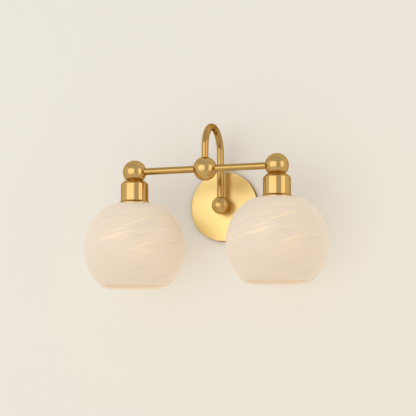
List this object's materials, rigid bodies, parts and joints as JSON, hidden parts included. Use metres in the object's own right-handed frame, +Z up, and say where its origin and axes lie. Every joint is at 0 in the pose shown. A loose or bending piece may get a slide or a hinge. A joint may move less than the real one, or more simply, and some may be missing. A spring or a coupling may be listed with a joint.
{
  "type": "double arm wall sconce",
  "caption": "Wall sconce with a round plate, a gooseneck and a cross arm that carries hanging open glass globes.",
  "frame": {"origin": "centre of the two slots that take the junction box screws, on the wall's face", "axes": "+Y into the wall, +Z up, +X to the viewer's right along the cross arm"},
  "size_m": [0.4038, 0.1844, 0.2657],
  "materials": {
    "satin_brass": "satin brushed and lacquered",
    "brass_fixings": "turned, bare",
    "plated_steel": "zinc plated",
    "green_steel": "green passivated",
    "black_phenolic": "moulded",
    "nickel_shell": "nickel plated",
    "frosted_glass": "frosted with faint swirls",
    "solder": "bright solder",
    "black_glass": "glossy",
    "aluminium_base": "pressed",
    "bulb_glass": "frosted white"
  },
  "bodies": {
    "wall_fixture": {"mounting_strap": "plated_steel", "ground_screw": "green_steel", "wall_plate": "satin_brass", "grub_screws": "brass_fixings", "plate_stem": "brass_fixings", "stem_nuts": "brass_fixings", "plate_washer": "plated_steel", "plate_neck": "satin_brass", "wall_ball": "satin_brass", "gooseneck": "satin_brass", "centre_ball": "satin_brass", "left_cross_arm": "satin_brass", "left_end_ball": "satin_brass", "left_lamp_stem": "brass_fixings", "left_lamp_cup": "satin_brass", "left_socket_body": "black_phenolic", "left_socket_shell": "nickel_shell", "left_socket_contact": "brass_fixings", "right_cross_arm": "satin_brass", "right_end_ball": "satin_brass", "right_lamp_stem": "brass_fixings", "right_lamp_cup": "satin_brass", "right_socket_body": "black_phenolic", "right_socket_shell": "nickel_shell", "right_socket_contact": "brass_fixings"},
    "left_globe": {"left_glass_shade": "frosted_glass"},
    "left_retaining_ring": {"left_shade_ring": "black_phenolic"},
    "left_bulb_lift": {"left_bulb_tip": "solder"},
    "left_bulb": {"left_bulb_insulator": "black_glass", "left_bulb_base": "aluminium_base", "left_bulb_glass": "bulb_glass"},
    "right_globe": {"right_glass_shade": "frosted_glass"},
    "right_retaining_ring": {"right_shade_ring": "black_phenolic"},
    "right_bulb_lift": {"right_bulb_tip": "solder"},
    "right_bulb": {"right_bulb_insulator": "black_glass", "right_bulb_base": "aluminium_base", "right_bulb_glass": "bulb_glass"}
  },
  "joints": [
    {"name": "left_globe_lower", "type": "slide", "parent": "wall_fixture", "child": "left_globe", "axis": [0, 0, -1], "range_m": [0, 0.008]},
    {"name": "left_ring_turn", "type": "hinge", "parent": "left_globe", "child": "left_retaining_ring", "pos_m": [-0.1205, -0.103, 0], "axis": [0, 0, -1], "range_deg": [0, 1440]},
    {"name": "left_bulb_lower", "type": "slide", "parent": "wall_fixture", "child": "left_bulb_lift", "axis": [0, 0, -1], "range_m": [0, 0.01633]},
    {"name": "left_bulb_turn", "type": "hinge", "parent": "left_bulb_lift", "child": "left_bulb", "pos_m": [-0.1205, -0.103, 0], "axis": [0, 0, -1], "range_deg": [0, 1620]},
    {"name": "right_globe_lower", "type": "slide", "parent": "wall_fixture", "child": "right_globe", "axis": [0, 0, -1], "range_m": [0, 0.008]},
    {"name": "right_ring_turn", "type": "hinge", "parent": "right_globe", "child": "right_retaining_ring", "pos_m": [0.1205, -0.103, 0], "axis": [0, 0, -1], "range_deg": [0, 1440]},
    {"name": "right_bulb_lower", "type": "slide", "parent": "wall_fixture", "child": "right_bulb_lift", "axis": [0, 0, -1], "range_m": [0, 0.01633]},
    {"name": "right_bulb_turn", "type": "hinge", "parent": "right_bulb_lift", "child": "right_bulb", "pos_m": [0.1205, -0.103, 0], "axis": [0, 0, -1], "range_deg": [0, 1620]}
  ],
  "couplings": [
    {"joint": "left_ring_turn", "follows": "left_globe_lower", "rad_per_m": 3141.6},
    {"joint": "left_bulb_lower", "follows": "left_bulb_turn", "m_per_rad": 0.0005775},
    {"joint": "right_ring_turn", "follows": "right_globe_lower", "rad_per_m": 3141.6},
    {"joint": "right_bulb_lower", "follows": "right_bulb_turn", "m_per_rad": 0.0005775}
  ]
}
